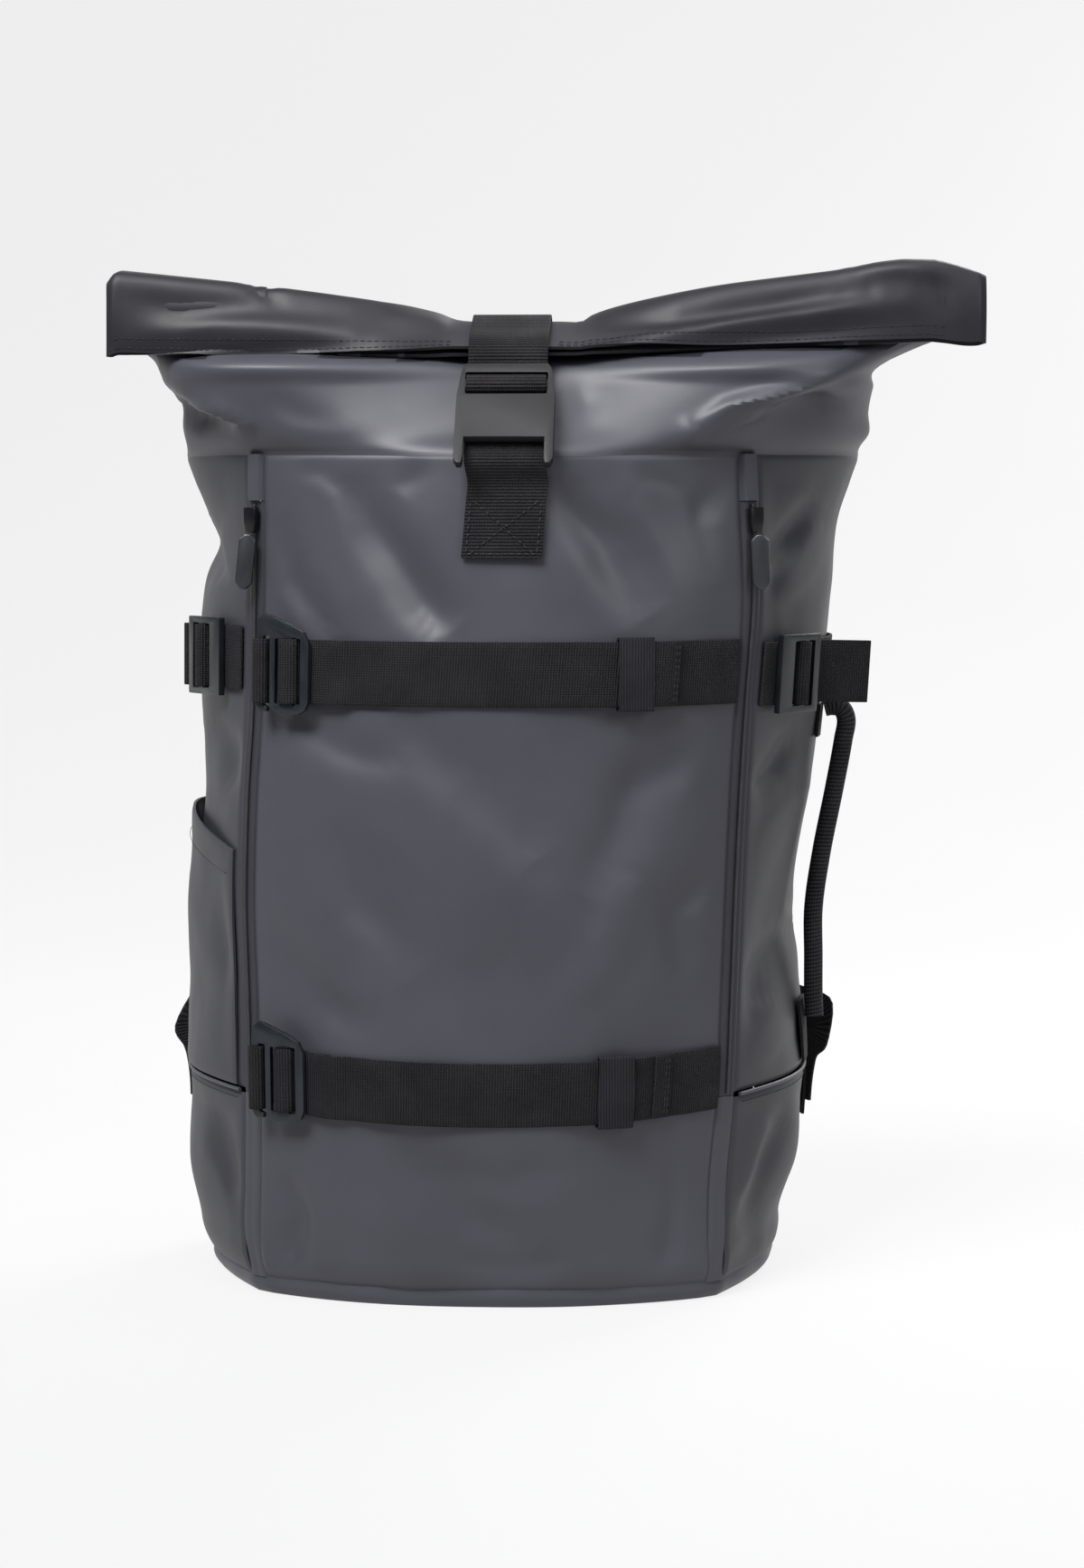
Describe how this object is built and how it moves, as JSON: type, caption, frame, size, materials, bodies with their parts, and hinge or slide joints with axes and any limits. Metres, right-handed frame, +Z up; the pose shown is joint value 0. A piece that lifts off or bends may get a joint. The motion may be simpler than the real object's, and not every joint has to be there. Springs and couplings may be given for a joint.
{
  "type": "rolltop backpack",
  "caption": "Rolltop backpack with a rolled, buckled mouth, hooked webbing straps across the front, side straps with ladder locks, a side handle and padded shoulder straps",
  "frame": {"origin": "on the floor under the middle of the base", "axes": "+Z up, the front of the bag faces -Y, +X to the right of someone who looks at the front"},
  "size_m": [0.4107, 0.25, 0.4908],
  "materials": {
    "cloth": "coated matt charcoal cloth",
    "zip": "black coated zip",
    "webbing": "ribbed black webbing",
    "elastic": "fine ribbed elastic",
    "hook": "dark anodised",
    "plastic": "fine grained moulding",
    "rubber": "soft grey moulding",
    "mesh": "spacer mesh over foam"
  },
  "bodies": {
    "root": {"front_panel": "cloth", "back_panel": "cloth", "side_panel_left": "cloth", "side_panel_right": "cloth", "boot_left": "cloth", "boot_right": "cloth", "boot_piping_left": "cloth", "boot_piping_right": "cloth", "base_panel": "cloth", "collar": "cloth", "strip_left": "cloth", "strip_right": "cloth", "pocket_left": "cloth", "zip_left": "zip", "zip_right": "zip", "zip_hood_left": "cloth", "zip_hood_right": "cloth", "slider_left": "hook", "slider_right": "hook", "puller_left": "rubber", "puller_right": "rubber", "strap_upper": "webbing", "strap_lower": "webbing", "g_hook_upper": "hook", "g_hook_lower": "hook", "hook_loop_upper": "webbing", "hook_loop_lower": "webbing", "keeper_upper": "elastic", "keeper_lower": "elastic", "side_strap_front_left": "webbing", "side_strap_front_right": "webbing", "side_strap_back_left": "webbing", "side_strap_back_right": "webbing", "ladder_lock_left": "plastic", "ladder_lock_right": "plastic", "top_strap": "webbing", "buckle": "plastic", "buckle_hook": "plastic", "lower_webbing": "webbing", "side_handle": "webbing", "handle_tab_top": "webbing", "handle_tab_foot": "webbing", "back_pad": "mesh", "shoulder_pad_left": "mesh", "shoulder_pad_right": "mesh", "shoulder_web_left": "webbing", "shoulder_web_right": "webbing", "adjuster_left": "plastic", "adjuster_right": "plastic", "anchor_tab_left": "cloth", "anchor_tab_right": "cloth"}
  },
  "joints": []
}
